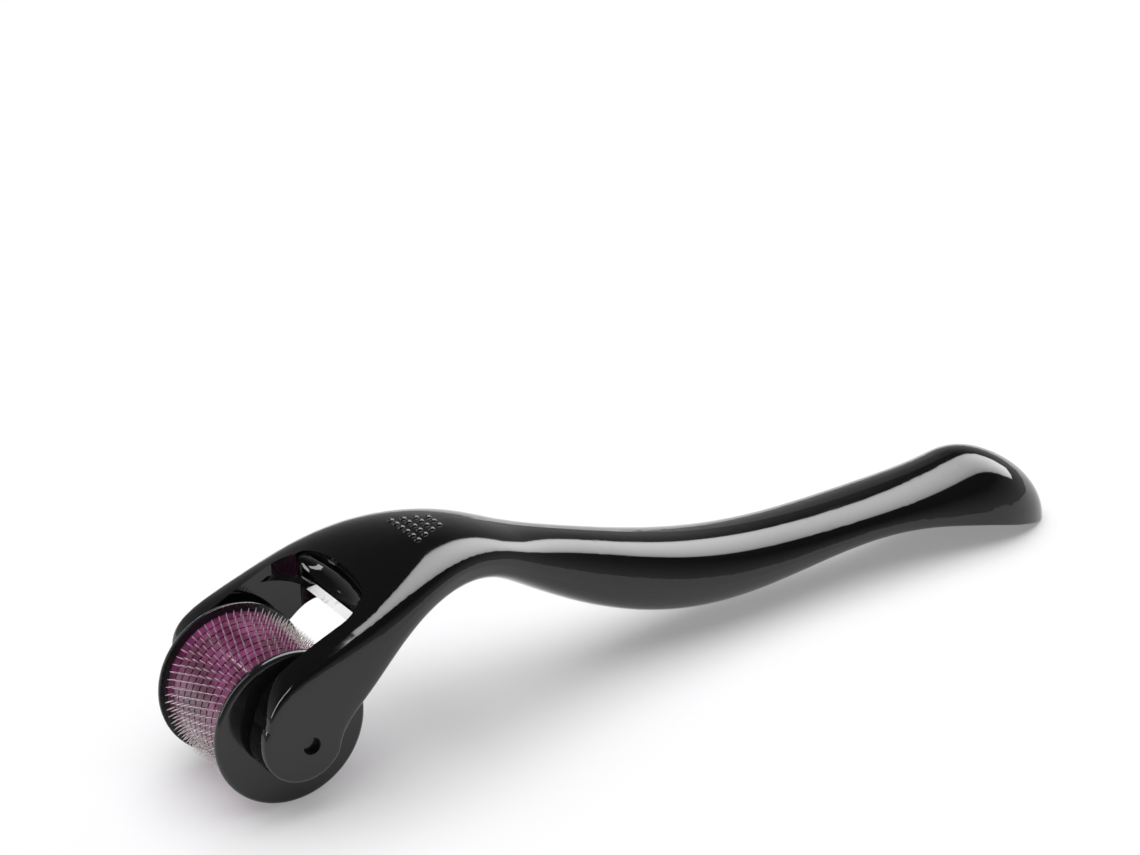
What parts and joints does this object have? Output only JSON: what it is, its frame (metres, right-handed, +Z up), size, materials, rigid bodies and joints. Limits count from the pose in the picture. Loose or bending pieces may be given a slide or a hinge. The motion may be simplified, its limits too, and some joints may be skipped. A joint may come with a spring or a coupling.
{
  "type": "derma roller",
  "caption": "Handheld microneedle skin roller: a fork-ended curved plastic handle holding a free-turning drum of needles between two end caps.",
  "frame": {"origin": "on the resting surface, under the middle of the object's bounding box", "axes": "+X from the drum to the handle's tail, +Y along the drum's axle, +Z up"},
  "size_m": [0.1448, 0.0302, 0.0298],
  "materials": {
    "handle_gloss": "near-black polished ABS with a deep gloss",
    "cap_black": "black moulded plastic, slightly softer gloss than the handle",
    "spindle_white": "natural white plastic rod, hidden",
    "disc_plum": "translucent plum plastic, glossy",
    "needle_steel": "bright ground stainless steel"
  },
  "bodies": {
    "handle": {"upper_shell": "handle_gloss", "lower_shell": "handle_gloss"},
    "roller": {"end_cap_near": "cap_black", "end_cap_far": "cap_black", "drum_spindle": "spindle_white", "drum_disc_01": "disc_plum", "drum_disc_02": "disc_plum", "drum_disc_03": "disc_plum", "drum_disc_04": "disc_plum", "drum_disc_05": "disc_plum", "drum_disc_06": "disc_plum", "drum_disc_07": "disc_plum", "drum_disc_08": "disc_plum", "drum_disc_09": "disc_plum", "drum_disc_10": "disc_plum", "needle_ring_1": "needle_steel", "needle_ring_2": "needle_steel", "needle_ring_3": "needle_steel", "needle_ring_4": "needle_steel", "needle_ring_5": "needle_steel", "needle_ring_6": "needle_steel", "needle_ring_7": "needle_steel", "needle_ring_8": "needle_steel", "needle_ring_9": "needle_steel"}
  },
  "joints": [
    {"name": "roller_spin", "type": "hinge", "parent": "handle", "child": "roller", "pos_m": [-0.06144, 0, 0.011], "axis": [0, 1, 0], "continuous": true}
  ]
}
